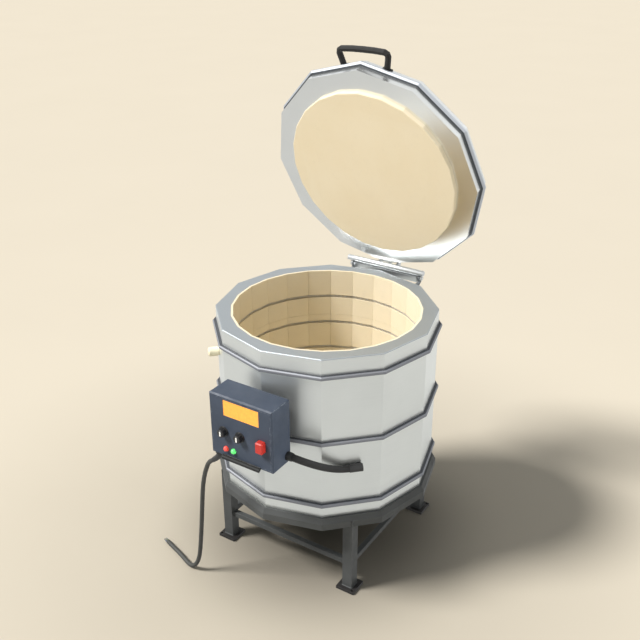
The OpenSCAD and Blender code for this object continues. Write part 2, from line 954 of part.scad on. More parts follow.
// The fibre blanket that fills the pan above the brick disc
module lid_blanket() {
  low = lid_z - disc_out + disc_t + seat;
  color("white")
    opened()
      difference() {
        translate([0, 0, lid_z + jacket_t + seat])
          twelve(lid_r - (jacket_t + 1) / flat, lid_t - 2 * jacket_t - 3 * seat);
        translate([0, 0, lid_z]) faced(disc_r + 1, low - lid_z);
      }
}

// The handle: a bent bar with a flat foot at each end, on the lid's side above its band
module lid_handle() {
  low = lid_z + lid_t - lid_band_down + 0.5;
  high = lid_z + lid_t - 1;
  z = (low + high) / 2 + 0.5;
  half = handle_w / 2;
  foot_y = -(lid_r + 2 * seat + handle_r * slope - half * slope);
  far_y = -(lid_r + handle_out);
  bend = [
    [half, foot_y, z], [half + 4, foot_y - 18, z], [half + 9, far_y + 17, z], [half + 7, far_y + 8, z],
    [half - 2, far_y + 3, z], [half * 0.5, far_y + 0.5, z]
  ];
  path = concat(
    [for (p = bend) [-p[0], p[1], p[2]]],
    [[0, far_y, z]],
    [for (i = [len(bend) - 1 : -1 : 0]) bend[i]]
  );
  foot = 14;
  color([0.2, 0.2, 0.19])
    opened()
      union() {
        tube(path, same(path, handle_r), 10, [0, 0, 1]);
        intersection() {
          mirror([0, 1, 0]) bent_plate(lid_r + seat, 4, half + foot, low, high);
          for (s = [-1, 1])
            translate([s * half, -lid_r, z]) cube([2 * foot, handle_w, 60], center = true);
        }
      }
}

// Hinge, moving half: a bar around the pin, webs, and a plate on the lid's band

module hinge_leaf() {
  half = bar_len / 2;
  low = lid_z + lid_band_up + 1;
  high = lid_z + lid_band_up + lid_band_h - 1;
  plate_r = lid_band_r + seat;
  plate_half = half * 0.6;
  web_t = 6;
  web_step = 34;
  color("silver")
    opened()
      difference() {
        union() {
          translate([-half, bead_y, bead_z]) rotate([0, 90, 0]) cylinder(r = bead_r, h = bar_len);
          block([-knuckle_half, knuckle_half], [bead_y, pin_y], [bead_z - leaf_t / 2, bead_z + leaf_t / 2]);
          block(
            [-knuckle_half, knuckle_half], [pin_y - knuckle_r, pin_y + knuckle_r],
            [pin_z - knuckle_r, pin_z + knuckle_r]
          );
          bent_plate(plate_r, leaf_t, plate_half, low, high);
          for (x = [-web_step, 0, web_step])
            block(
              [x - web_t / 2, x + web_t / 2],
              [plate_r + 1 - max(0, abs(x) - web_t / 2) * slope, pin_y + knuckle_r],
              [pin_z + knuckle_r - 1, high]
            );
        }
        translate([-box_w, pin_y, pin_z]) rotate([0, 90, 0]) cylinder(r = pin_r + running, h = 2 * box_w);
        // The webs' upper rear corners are cut away
        translate([0, pin_y + knuckle_r + 6, high + 8])
          rotate([45, 0, 0])
            cube([2 * bar_len, 60, 30], center = true);
      }
}

module leaf_bolts() {
  z = lid_z + lid_band_up + lid_band_h / 2;
  color("gray")
    opened()
      for (a = [75, 105])
        side_bolt(lid_band_r + (leaf_t + 2 * seat) / flat, a, 36 * sign(90 - a), z, 5, 4);
}

// Control box

module box_bracket() {
  color("dimgray")
    difference() {
      mirror([0, 1, 0])
        bent_plate(jacket_r + seat, plate_t, standoff_x + 16, plate_low, plate_high);
      block(
        [-terminal_w / 2 - slip, terminal_w / 2 + slip], [-2 * jacket_r, -jacket_r / 2],
        [terminal_z - terminal_h / 2 - slip, terminal_z + terminal_h / 2 + slip]
      );
    }
}

module box_standoffs() {
  color("silver")
    difference() {
      for (s = [-1, 1], z = standoff_z)
        forward(s * standoff_x, -jacket_r / 2, z, standoff_r, -box_back - jacket_r / 2 - seat);
      translate([0, 0, box_z - 50]) twelve(jacket_r + (plate_t + 2 * seat) / flat, box_h + 100);
    }
}

module box_housing() {
  half = box_w / 2;
  lip = housing_lip;
  color("slategray")
    difference() {
      chamfered([-half, half], [box_front, box_back], [box_z, box_top], box_chamfer);
      block(
        [-half + box_t, half - box_t], [panel_back + 3, box_back - box_t],
        [box_z + box_t, box_top - box_t]
      );
      block(
        [-half + frame_w + lip, half - frame_w - lip], [box_front - 1, box_back - box_d / 2],
        [box_z + frame_w + lip, box_top - frame_w - lip]
      );
      block(
        [-half + frame_w, half - frame_w], [box_front - 1, panel_back],
        [box_z + frame_w, box_top - frame_w]
      );
      block(
        [-terminal_w / 2 - slip, terminal_w / 2 + slip], [box_back - 2 * box_t, box_back + 1],
        [terminal_z - terminal_h / 2 - slip, terminal_z + terminal_h / 2 + slip]
      );
    }
}

module front_panel() {
  half = panel_w / 2 - slip;
  color("slategray")
    difference() {
      block(
        [-half, half], [box_front, panel_back - seat],
        [box_z + frame_w + slip, box_top - frame_w - slip]
      );
      block(
        [display_x - display_w / 2, display_x + display_w / 2], [box_front - eps, panel_back + eps],
        [display_z - display_h / 2, display_z + display_h / 2]
      );
      for (x = knob_x) forward(x, panel_back + eps, knob_z, shaft_r + 2, panel_t + 3);
      forward(red_lamp_x, panel_back + eps, lamp_z, lamp_r - 2, panel_t + 3);
      forward(green_lamp_x, panel_back + eps, lamp_z, lamp_r - 2, panel_t + 3);
      block(
        [button_x - button_w / 2 - slip, button_x + button_w / 2 + slip],
        [box_front - eps, panel_back + eps],
        [button_z - button_h / 2 - slip, button_z + button_h / 2 + slip]
      );
    }
}

module display_window() {
  half = display_w / 2 - seat;
  color("orange")
    block(
      [display_x - half, display_x + half], [box_front + display_in, box_front + display_in + display_t],
      [display_z - display_h / 2 + seat, display_z + display_h / 2 - seat]
    );
}

// The controller's circuit board, with the display module in front of it
module controller_board() {
  board_y = box_front + 20;
  half_w = display_w / 2 + 12;
  half_h = display_h / 2 + 8;
  module_front = box_front + display_in + display_t + seat;
  color("darkgreen")
    union() {
      block([display_x - half_w, display_x + half_w], [board_y, board_y + 1.6], [display_z - half_h, display_z + half_h]);
      block(
        [display_x - display_w / 2 + 1, display_x + display_w / 2 - 1], [module_front, board_y + 0.5],
        [display_z - display_h / 2 + 1, display_z + display_h / 2 - 1]
      );
      for (i = [0 : 3])
        block(
          [display_x - half_w + 12 + i * 32, display_x - half_w + 34 + i * 32], [board_y + 1, board_y + 7],
          [display_z - half_h + 6, display_z - half_h + 18]
        );
      for (i = [0 : 2])
        translate([display_x - 40 + i * 24, board_y + 1, display_z + 12])
          rotate([-90, 0, 0])
            cylinder(r = 6, h = 14);
    }
}

// Two power relays on the back wall, with their terminals
module relays() {
  deep = 26;
  base_t = 4;
  base_w = 48;
  base_h = 72;
  body_w = 38;
  tall = 56;
  tag_w = 10;
  tag_h = 7;
  tag_out = 9;
  tag_x = 11;
  from_side = 39.5;
  rise = 140;
  back = box_back - box_t - seat;
  color([0.15, 0.15, 0.16])
    for (s = [-1, 1])
      translate([s * (box_w / 2 - from_side), back, box_z + rise])
        union() {
          block([-base_w / 2, base_w / 2], [-base_t, 0], [-base_h / 2, base_h / 2]);
          block([-body_w / 2, body_w / 2], [-deep, -base_t + 1], [-tall / 2, tall / 2]);
          for (x = [-tag_x, tag_x], z = [-tall / 2 - base_t, tall / 2 + base_t])
            translate([x, 0, z])
              block([-tag_w / 2, tag_w / 2], [-tag_out, -base_t + 1], [-tag_h / 2, tag_h / 2]);
        }
}

// The controller's transformer: an iron core around a bobbin
module transformer() {
  from_side = 41.5;
  rise = 38;
  back = box_back - box_t - seat;
  color("dimgray")
    translate([-(box_w / 2 - from_side), back, box_z + rise])
      union() {
        difference() {
          block([-26, 26], [-20, 0], [-22, 22]);
          block([-17, -8], [-30, 10], [-13, 13]);
          block([8, 17], [-30, 10], [-13, 13]);
        }
        translate([0, 0, -12.5])
          linear_extrude(25)
            difference() {
              translate([-16, -30]) square([32, 10.5]);
              translate([-4, -27]) square([8, 4]);
            }
      }
}

// The screw terminals that the power cord is wired to
module mains_terminals() {
  back = box_back - box_t - seat;
  count = 4;
  pitch = 16;
  color("ivory")
    translate([20, back, box_z + 30])
      difference() {
        block([-8, count * pitch + 4], [-20, 0], [-13, 13]);
        for (i = [0 : count - 1])
          translate([i * pitch + 6, 0, 0]) {
            block([-5, 5], [-30, -12], [-20, -5]);
            block([-5, 5], [-30, -12], [5, 20]);
            translate([0, -8, 0]) rotate([90, 0, 0]) cylinder(r = 3.2, h = 30);
          }
      }
}

// The black rail along the bottom of the box, over its air slot
module vent_rail() {
  color([0.12, 0.12, 0.12])
    difference() {
      translate([-vent_w / 2, box_front - vent_out, vent_top - vent_h])
        rotate([90, 0, 90])
          linear_extrude(vent_w)
            polygon([
              [0, 0], [0, vent_h - 5], [2, vent_h - 2], [vent_out - seat, vent_h],
              [vent_out - seat, 6], [vent_out - 8, 0]
            ]);
      // The groove along the rail's top
      block(
        [-vent_w / 2 + 4, vent_w / 2 - 4], [box_front - vent_out + 5, box_front - 3],
        [vent_top - 4, vent_top + eps]
      );
    }
}

module lamp(x) {
  union() {
    forward(x, panel_back + 14, lamp_z, lamp_r - 2 - seat, 14 + panel_t - 1);
    forward(x, box_front - seat, lamp_z, lamp_r, 2.4);
    intersection() {
      translate([x, box_front - 2, lamp_z]) sphere(r = lamp_r - 0.5);
      forward(x, box_front - 2, lamp_z, lamp_r, lamp_r);
    }
    forward(x, box_front + 1, lamp_z, lamp_r - 2 - seat, 3);
  }
}

module red_lamp() {
  color("tomato") lamp(red_lamp_x);
}

module green_lamp() {
  color("limegreen") lamp(green_lamp_x);
}

// The rotary switches behind the panel that the knobs' shafts turn in
module dial_switches() {
  color("gray")
    difference() {
      for (x = knob_x) {
        forward(x, panel_back + pot_d, knob_z, pot_r, pot_d - seat);
        forward(x, panel_back + 1, knob_z, shaft_r + 2 - seat, panel_t + 1);
      }
      for (x = knob_x)
        forward(x, panel_back + 14, knob_z, shaft_r + running, pot_d + 20);
    }
}

// A knob: a skirt, a fluted grip with a bevelled top, and a shaft behind it
module knob(x) {
  grip_r = knob_r - 3;
  flutes = 10;
  flute_d = 0.9;
  points = 6 * flutes;
  bevel = 2;
  top_r = grip_r - 1.5;
  translate([x, box_front - slip, knob_z])
    rotate([90, 0, 0])
      difference() {
        union() {
          cylinder(r1 = knob_r, r2 = knob_r - 1.5, h = 4);
          linear_extrude(knob_out - bevel, scale = top_r / grip_r)
            polygon([
              for (i = [0 : points - 1])
                (grip_r - flute_d * (1 - cos(flutes * 360 * i / points)) / 2) * dir(90 + 360 * i / points)
            ]);
          translate([0, 0, knob_out - bevel - 1])
            cylinder(r1 = top_r - flute_d, r2 = top_r - flute_d - bevel, h = bevel + 1);
          translate([0, 0, -(panel_t + 12)]) cylinder(r = shaft_r, h = panel_t + 13);
        }
        // The seat of the pointer's inlay
        translate([-pointer_w / 2 - running, -pointer_len / 2 - running, knob_out - pointer_in])
          cube([pointer_w + 2 * running, pointer_len + 2 * running, 10]);
      }
}

module pointer(x) {
  translate([x, box_front - slip, knob_z])
    rotate([90, 0, 0])
      translate([-pointer_w / 2, -pointer_len / 2, knob_out - pointer_in + running])
        cube([pointer_w, pointer_len, pointer_in + pointer_proud]);
}

module left_knob() {
  color([0.1, 0.1, 0.1]) knob(knob_x[0]);
}

module left_pointer() {
  color("white") pointer(knob_x[0]);
}

module right_knob() {
  color([0.1, 0.1, 0.1]) knob(knob_x[1]);
}

module right_pointer() {
  color("white") pointer(knob_x[1]);
}

module power_button() {
  c = 3;
  color("red")
    chamfered(
      [button_x - button_w / 2, button_x + button_w / 2], [box_front - button_out, panel_back + button_in],
      [button_z - button_h / 2, button_z + button_h / 2], c
    );
}

// The switch body behind the panel that the button slides in
module button_switch() {
  wall = 2.5;
  w = button_w / 2 + slip;
  h = button_h / 2 + slip;
  deep = button_in + button_travel + 2;
  color([0.2, 0.2, 0.2])
    difference() {
      block(
        [button_x - w - wall, button_x + w + wall], [panel_back, panel_back + deep + wall],
        [button_z - h - wall, button_z + h + wall]
      );
      block(
        [button_x - w, button_x + w], [panel_back - eps, panel_back + deep],
        [button_z - h, button_z + h]
      );
    }
}

// Power cord

module cord_relief() {
  nut_r = cord_d / 2 + 7;
  thick = cord_d / 2 + 3.5;
  thin = cord_d / 2 + 1;
  path = [for (p = relief_bend) [relief_x, relief_y, box_z] + p];
  last = len(path) - 1;
  color([0.12, 0.12, 0.12])
    union() {
      translate([relief_x, relief_y, box_z - 6 - seat]) cylinder(r = nut_r, h = 6, $fn = 8);
      tube(path, [for (i = [0 : last]) thick + (thin - thick) * i / last], 12, [0, 1, 0]);
    }
}

module power_cord() {
  start = cord_route[0] + seat * unit(cord_route[1] - cord_route[0]);
  path = concat([start], [for (i = [1 : len(cord_route) - 1]) cord_route[i]]);
  color([0.22, 0.22, 0.2]) tube(path, same(path, cord_d / 2), 10, [0, 1, 0]);
}

// The three stripped cores at the cord's end
module cord_cores() {
  last = cord_route[len(cord_route) - 1];
  way = unit(last - cord_route[len(cord_route) - 2]);
  heading = atan2(way[1], way[0]);
  color("sienna")
    translate(last)
      rotate([0, 0, heading])
        for (i = [-1 : 1])
          translate([seat, i * (core_r * 2 + 0.1), 0])
            rotate([0, 90, 0])
              union() {
                cylinder(r = core_r, h = core_len / 2);
                translate([0, 0, core_len / 2 - eps]) cylinder(r = core_r * 0.6, h = core_len / 2 + eps);
              }
}

stand_ring();
stand_legs();
stand_crossbars();
foot_plates();
base_pan();
hearth_slab();
lower_bricks();
middle_bricks();
upper_bricks();
jacket();
jacket_seam();
rim_cap();
lower_band();
middle_band();
upper_band();
band_clamps();
element_1();
element_2();
element_3();
element_4();
terminal_block();
peephole_plug();
thermocouple();
thermocouple_head();
conduit();
conduit_gland();
hinge_bracket();
bracket_bolts();
hinge_pin();
lid_pan();
lid_cover();
lid_band();
lid_brick();
lid_blanket();
lid_handle();
hinge_leaf();
leaf_bolts();
box_bracket();
box_standoffs();
box_housing();
front_panel();
display_window();
controller_board();
relays();
transformer();
mains_terminals();
vent_rail();
red_lamp();
green_lamp();
dial_switches();
button_switch();
left_knob();
left_pointer();
right_knob();
right_pointer();
power_button();
cord_relief();
power_cord();
cord_cores();
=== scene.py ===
"""The electric pottery kiln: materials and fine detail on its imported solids, and a studio around it.

Everything is in metres, in the frame of the solids: +Z up, the floor at 0, the control box at -Y.
"""

import math

import bmesh
import bpy
from mathutils import Matrix, Vector


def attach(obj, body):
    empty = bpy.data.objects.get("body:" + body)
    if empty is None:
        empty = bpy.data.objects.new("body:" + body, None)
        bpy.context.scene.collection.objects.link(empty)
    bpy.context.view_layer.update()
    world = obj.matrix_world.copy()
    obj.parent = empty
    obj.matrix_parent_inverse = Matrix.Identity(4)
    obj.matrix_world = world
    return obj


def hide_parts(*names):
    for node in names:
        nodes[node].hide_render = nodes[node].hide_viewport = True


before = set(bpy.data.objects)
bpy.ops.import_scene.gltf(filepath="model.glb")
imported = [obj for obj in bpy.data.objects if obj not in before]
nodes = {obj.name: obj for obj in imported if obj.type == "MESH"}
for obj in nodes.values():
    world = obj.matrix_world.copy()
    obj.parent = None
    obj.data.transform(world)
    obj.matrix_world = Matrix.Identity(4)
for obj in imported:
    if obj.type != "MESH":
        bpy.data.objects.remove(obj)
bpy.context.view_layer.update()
scene = bpy.context.scene
MM = 0.001


# Sizes shared with the solids

SIDES = 12
HALF_SIDE = math.pi / SIDES
# From a corner's distance to its faces' distance
FLAT = math.cos(HALF_SIDE)
JACKET_R = 352 * MM
PIN = Vector((0, 386 * MM, 826 * MM))
LID_OPEN = math.radians(71.5)
LID_R = 361 * MM
LID_Z = 837.4 * MM
LID_T = 61 * MM
SEAM_ANGLE = math.radians(135)
SEAM_T = 1 * MM
# Low and high ends of the seam's stretches between the bands, in millimetres
SEAM_LAPS = [(295, 328.5), (347, 549.7), (568.2, 771), (789.5, 831)]
LEG_AT = 238.123 * MM
LEG_HALF = 17.25 * MM
FOOT_T = 10 * MM
CROSS_HALF = 9 * MM
CROSS_Z = 98 * MM

CORNERS = ((-1, -1), (1, -1), (1, 1), (-1, 1))
UP = (0, 0, 1)
BACK = (0, 1, 0)
LID_INWARD = (0, -math.sin(LID_OPEN), -math.cos(LID_OPEN))


def opened(point):
    """A point of the closed lid, where it is with the lid standing open."""
    turn = Matrix.Translation(PIN) @ Matrix.Rotation(-LID_OPEN, 4, "X") @ Matrix.Translation(-PIN)
    return turn @ Vector(point)


# Materials

# Sockets of a mix node that mixes colours
MIX_A, MIX_B, MIX_RESULT = 6, 7, 2


def srgb(r, g, b):
    """A colour written as 0 to 255, as the shader wants it."""

    def linear(c):
        c /= 255
        return c / 12.92 if c <= 0.04045 else ((c + 0.055) / 1.055) ** 2.4

    return (linear(r), linear(g), linear(b), 1)


def shaded(color, *factors, add=0.0):
    """A colour times one factor, or one for each channel, and a little added."""
    if len(factors) == 1:
        factors *= 3
    return tuple(min(1, c * f + add) for c, f in zip(color[:3], factors)) + (1,)


class Surface:
    """A material with one principled shader, and short ways to add what varies over it.

    turn leans its coordinates back, for a piece of the open lid.
    """

    def __init__(self, name, roughness, metallic=0.0, turn=0.0):
        self.material = bpy.data.materials.new(name)
        self.material.use_nodes = True
        self.tree = self.material.node_tree
        self.shader = self.tree.nodes["Principled BSDF"]
        self.set(Roughness=roughness, Metallic=metallic)
        where = self.add("ShaderNodeTexCoord")
        self.place = where.outputs["Object"]
        self.normal = where.outputs["Normal"]
        if turn:
            self.place = self.mapped(Rotation=(turn, 0, 0))

    def add(self, kind, operation=None, **inputs):
        """A new node, with its operation and the plain values of its inputs."""
        made = self.tree.nodes.new(kind)
        if operation:
            made.operation = operation
        for name, value in inputs.items():
            made.inputs[name].default_value = value
        return made

    def feed(self, socket, value):
        """Links an output to a socket, or sets the socket to a plain value."""
        if isinstance(value, bpy.types.NodeSocket):
            self.tree.links.new(value, socket)
        else:
            socket.default_value = value

    def set(self, **inputs):
        """Plain values on the shader; an underscore stands for a space."""
        for name, value in inputs.items():
            self.shader.inputs[name.replace("_", " ")].default_value = value

    def mapped(self, **change):
        """The coordinates, stretched or turned."""
        mapping = self.add("ShaderNodeMapping", **change)
        self.feed(mapping.inputs["Vector"], self.place)
        return mapping.outputs["Vector"]

    def around(self, along, across):
        """Coordinates that run round the kiln's axis, scaled along the run and up the height."""
        split = self.add("ShaderNodeSeparateXYZ")
        self.feed(split.inputs["Vector"], self.place)
        angle = self.calculate("ARCTAN2", split.outputs["Y"], split.outputs["X"])
        joined = self.add("ShaderNodeCombineXYZ")
        self.feed(joined.inputs["X"], self.calculate("MULTIPLY", angle, JACKET_R * along))
        self.feed(joined.inputs["Z"], self.calculate("MULTIPLY", split.outputs["Z"], across))
        return joined.outputs["Vector"]

    def calculate(self, operation, a, b):
        """A math node's result on two values, each a number or an output."""
        made = self.add("ShaderNodeMath", operation)
        self.feed(made.inputs[0], a)
        self.feed(made.inputs[1], b)
        return made.outputs[0]

    def measure(self, operation, *vectors):
        """A vector's length, or the dot product of two."""
        made = self.add("ShaderNodeVectorMath", operation)
        for socket, vector in zip(made.inputs, vectors):
            self.feed(socket, vector)
        return made.outputs["Value"]

    def noise(self, scale, detail, vector=None, roughness=0.55):
        made = self.add("ShaderNodeTexNoise", Scale=scale, Detail=detail, Roughness=roughness)
        self.feed(made.inputs["Vector"], vector or self.place)
        return made.outputs["Fac"]

    def cells(self, scale):
        made = self.add("ShaderNodeTexVoronoi", Scale=scale)
        self.feed(made.inputs["Vector"], self.place)
        return made.outputs["Distance"]

    def spread(self, value, low, high, to_low=0, to_high=1, smooth=False):
        """A value's range from low to high, spread from to_low to to_high and clamped there."""
        made = self.add("ShaderNodeMapRange")
        made.clamp = True
        if smooth:
            made.interpolation_type = "SMOOTHSTEP"
        ends = {"From Min": low, "From Max": high, "To Min": to_low, "To Max": to_high}
        for name, number in ends.items():
            made.inputs[name].default_value = number
        self.feed(made.inputs["Value"], value)
        return made.outputs["Result"]

    def mix(self, factor, a, b):
        """Two colours mixed, each a plain colour or an output."""
        made = self.add("ShaderNodeMix")
        made.data_type = "RGBA"
        self.feed(made.inputs["Factor"], factor)
        self.feed(made.inputs[MIX_A], a)
        self.feed(made.inputs[MIX_B], b)
        return made.outputs[MIX_RESULT]

    def facing(self, way, low, high):
        """Nothing on faces turned away from a direction of the piece, one on faces turned to it."""
        return self.spread(self.measure("DOT_PRODUCT", self.normal, way), low, high)

    def edges(self, radius):
        """One along sharp edges, nothing elsewhere."""
        flat, sharp = 0.985, 0.86
        bevel = self.add("ShaderNodeBevel", Radius=radius)
        bevel.samples = 4
        geometry = self.add("ShaderNodeNewGeometry")
        turned = self.measure("DOT_PRODUCT", bevel.outputs["Normal"], geometry.outputs["Normal"])
        return self.spread(turned, flat, sharp)

    def worn(self, radius, patches, low, high, least, most):
        """How far sharp edges are rubbed, in patches from least to most."""
        return self.calculate("MULTIPLY", self.edges(radius), self.spread(patches, low, high, least, most))

    def each_island(self):
        """A number of its own on each separate solid of the piece."""
        return self.add("ShaderNodeNewGeometry").outputs["Random Per Island"]

    def color(self, source):
        self.feed(self.shader.inputs["Base Color"], source)

    def rough(self, source):
        self.feed(self.shader.inputs["Roughness"], source)

    def bump(self, height, strength, distance):
        made = self.add("ShaderNodeBump", Strength=strength, Distance=distance)
        self.feed(made.inputs["Height"], height)
        self.feed(self.shader.inputs["Normal"], made.outputs["Normal"])


def brushed_steel(
    name, shade, roughness, metallic, grain, turn=0.0, round_grain=True, painted_side=None, painted_from=0.35
):
    """Rolled sheet with a fine grain, faint blotches and brighter rubbed edges.

    round_grain runs the grain round the kiln, and otherwise it runs across the piece. The painted side
    is a direction of the piece and a colour painted on the faces turned that way, by the next argument or
    more: painted shade, or painted light, for how light falls on those faces.
    """
    made = Surface(name, roughness, metallic, turn)
    grain_at = made.around(3, 420) if round_grain else made.mapped(Scale=(6, 420, 420))
    lines = made.noise(1.0, 6, grain_at, 0.7)
    blotch = made.spread(made.noise(5.5, 5), 0.34, 0.68)
    toned = made.mix(blotch, shaded(shade, 0.955), shade)
    streaked = made.mix(made.spread(lines, 0.3, 0.72, 0, grain), toned, shaded(shade, 0.86))
    worn = made.worn(1.4 * MM, made.noise(60, 3), 0.35, 0.6, 0.2, 0.8)
    color = made.mix(worn, streaked, shaded(shade, 1.2))
    # Painted shade or painted light on the faces turned one way.
    if painted_side:
        way, painted_tone = painted_side
        color = made.mix(made.facing(way, painted_from, painted_from + 0.25), color, painted_tone)
    made.color(color)
    made.rough(made.spread(lines, 0.25, 0.75, roughness - 0.15 * grain, roughness + 0.2 * grain))
    made.bump(lines, 0.3 * grain, 0.3 * MM)
    return made.material


def enamel(name, shade, roughness, chip, peel=0.25):
    """Sprayed paint with an orange-peel skin, faint soiling and edges rubbed to a lighter tone."""
    made = Surface(name, roughness)
    soil = made.spread(made.noise(9, 6), 0.35, 0.7)
    base = made.mix(soil, shaded(shade, 0.78), shade)
    worn = made.worn(1.3 * MM, made.noise(85, 4), 0.45, 0.62, 0, 0.9)
    made.color(made.mix(worn, base, chip))
    made.rough(made.spread(made.noise(30, 4), 0.3, 0.7, roughness - 0.06, roughness + 0.1))
    made.bump(made.noise(650, 3), peel, 0.15 * MM)
    made.set(Specular_IOR_Level=0.3)
    return made.material


def firebrick(name, shade):
    """Soft porous brick: faintly blotched cream, each brick its own tone, dark specks and a dusty grain.
    """
    made = Surface(name, 0.92)
    warm = shaded(shade, 0.96, 0.935, 0.88)
    base = made.mix(made.spread(made.noise(6.5, 5), 0.3, 0.7, 0, 0.7), shade, warm)
    tinted = made.mix(made.spread(made.each_island(), 0, 1, 0, 0.35), base, warm)
    specks = made.spread(made.cells(330), 0.10, 0.26, 1, 0)
    some = made.spread(made.noise(40, 3), 0.5, 0.64, 0, 0.6)
    made.color(made.mix(made.calculate("MULTIPLY", specks, some), tinted, shaded(shade, 0.55)))
    made.rough(made.spread(made.noise(120, 4), 0.3, 0.7, 0.85, 0.98))
    made.bump(made.noise(420, 6), 0.4, 0.6 * MM)
    return made.material


def moulded(name, shade, roughness, grain_scale=900, coat=0.0, lift=1.35):
    """Moulded plastic or rubber with a fine spark grain and rubbed high spots."""
    made = Surface(name, roughness)
    tone = made.spread(made.noise(14, 5), 0.35, 0.7, 0, 0.6)
    base = made.mix(tone, shade, shaded(shade, lift, add=0.004))
    worn = made.worn(0.9 * MM, made.noise(120, 3), 0.4, 0.6, 0.1, 0.7)
    made.color(made.mix(worn, base, shaded(shade, 1.8, add=0.02)))
    made.rough(made.spread(made.noise(45, 4), 0.3, 0.7, roughness - 0.08, roughness + 0.1))
    made.bump(made.noise(grain_scale, 3), 0.25, 0.12 * MM)
    if coat:
        made.set(Coat_Weight=coat)
    return made.material


def lens(name, shade, glow, roughness=0.18):
    """A lit plastic lens, with a little unevenness in its tint and polish."""
    made = Surface(name, roughness)
    tone = made.spread(made.noise(110, 4), 0.35, 0.7)
    made.color(made.mix(tone, shaded(shade, 0.82), shade))
    made.rough(made.spread(made.noise(200, 3), 0.3, 0.7, roughness, roughness + 0.14))
    made.bump(made.noise(300, 2), 0.06, 0.1 * MM)
    made.set(Coat_Weight=0.4, Emission_Color=shade, Emission_Strength=glow)
    return made.material


def fibre(name, shade):
    """A felted blanket with strands that lie one way."""
    made = Surface(name, 0.95)
    strands = made.noise(260, 8, made.mapped(Scale=(0.35, 1, 1)), 0.8)
    made.color(made.mix(made.spread(strands, 0.35, 0.65), shaded(shade, 0.8), shade))
    made.bump(strands, 0.8, 1 * MM)
    return made.material


def oxidised_wire(name, shade):
    """Resistance wire with a pale, patchy scale."""
    made = Surface(name, 0.4, 0.4)
    scale = made.noise(160, 5)
    made.color(made.mix(made.spread(scale, 0.35, 0.7), shade, shaded(shade, 0.86, 0.84, 0.81)))
    made.rough(made.spread(scale, 0.3, 0.7, 0.3, 0.55))
    made.bump(made.noise(900, 3), 0.3, 0.1 * MM)
    return made.material


def core_sleeves(name, *shades):
    """Plastic sleeves, each its own colour, with scuffs."""
    made = Surface(name, 0.42)
    ramp = made.add("ShaderNodeValToRGB")
    ramp.color_ramp.interpolation = "CONSTANT"
    stops = ramp.color_ramp.elements
    while len(stops) < len(shades):
        stops.new(1 - 1 / len(shades))
    for i, (stop, shade) in enumerate(zip(stops, shades)):
        stop.position = i / len(shades)
        stop.color = shade
    made.feed(ramp.inputs["Fac"], made.each_island())
    scuffed = made.spread(made.noise(220, 4), 0.5, 0.7, 0, 0.3)
    made.color(made.mix(scuffed, ramp.outputs["Color"], srgb(205, 200, 190)))
    made.rough(made.spread(made.noise(90, 3), 0.3, 0.7, 0.36, 0.55))
    return made.material


STEEL = brushed_steel("jacket_steel", srgb(241, 243, 239), roughness=0.36, metallic=0.92, grain=0.22)
CAP_STEEL = brushed_steel("cap_steel", srgb(170, 176, 180), roughness=0.5, metallic=0.75, grain=0.15)
# The bands' top faces carry a painted shade line.
BAND_STEEL = brushed_steel(
    "band_steel", srgb(144, 146, 152), roughness=0.62, metallic=0.75, grain=0.2,
    painted_side=(UP, srgb(84, 86, 91)), painted_from=0.75,
)
LID_STEEL = brushed_steel(
    "lid_steel", srgb(241, 242, 240), roughness=0.27, metallic=0.94, grain=0.0,
    turn=LID_OPEN, round_grain=False,
)
# The lid band's faces turned towards the lid's front carry a painted shade.
LID_BAND = brushed_steel(
    "lid_band_steel", srgb(206, 210, 216), roughness=0.34, metallic=0.9, grain=0.04,
    turn=LID_OPEN, round_grain=False, painted_side=(LID_INWARD, srgb(96, 99, 103)), painted_from=0.75,
)
# The hinge leaf's faces turned towards the lid's front carry painted light, a little paler than the steel.
HINGE_STEEL = brushed_steel(
    "hinge_steel", srgb(216, 218, 219), roughness=0.28, metallic=0.92, grain=0.1,
    turn=LID_OPEN, round_grain=False, painted_side=(LID_INWARD, srgb(224, 226, 227)),
)
FITTING = brushed_steel(
    "fitting_steel", srgb(218, 220, 220), roughness=0.32, metallic=0.9, grain=0.15, round_grain=False
)
BRACKET = brushed_steel(
    "bracket_steel", srgb(128, 132, 135), roughness=0.5, metallic=0.75, grain=0.15, round_grain=False
)
PIN_STEEL = brushed_steel(
    "pin_steel", srgb(226, 226, 224), roughness=0.24, metallic=0.95, grain=0.12, round_grain=False
)
BRICK = firebrick("firebrick", srgb(232, 221, 196))
PORCELAIN = firebrick("porcelain", srgb(232, 225, 198))
STAND_PAINT = enamel("stand_paint", srgb(75, 77, 77), 0.5, chip=srgb(118, 118, 116))
FOOT_PAINT = enamel("foot_paint", srgb(38, 36, 35), 0.55, chip=srgb(96, 91, 85))
BOX_PAINT = enamel("box_paint", srgb(65, 74, 89), 0.5, chip=srgb(138, 147, 158), peel=0.2)
HANDLE_PAINT = enamel("handle_paint", srgb(38, 37, 36), 0.5, chip=srgb(92, 89, 86))
IRON = enamel("core_iron", srgb(84, 80, 76), 0.5, chip=srgb(130, 122, 112))
BLACK = moulded("black_plastic", srgb(40, 40, 40), 0.45)
RAIL_BLACK = moulded("rail_black", srgb(17, 18, 18), 0.5)
KNOB = moulded("knob_plastic", srgb(27, 27, 28), 0.36, grain_scale=1200, coat=0.2)
WHITE = moulded("pointer_white", srgb(238, 238, 234), 0.5, grain_scale=1200, lift=1.02)
RUBBER = moulded("cord_rubber", srgb(56, 56, 53), 0.6, grain_scale=1400)
CONDUIT = moulded("conduit_skin", srgb(26, 25, 25), 0.5, grain_scale=1200)
RED_BUTTON = moulded("button_red", srgb(180, 46, 38), 0.45, grain_scale=1100, lift=1.08)
BOARD = moulded("circuit_board", srgb(38, 92, 60), 0.4, grain_scale=700, coat=0.3)
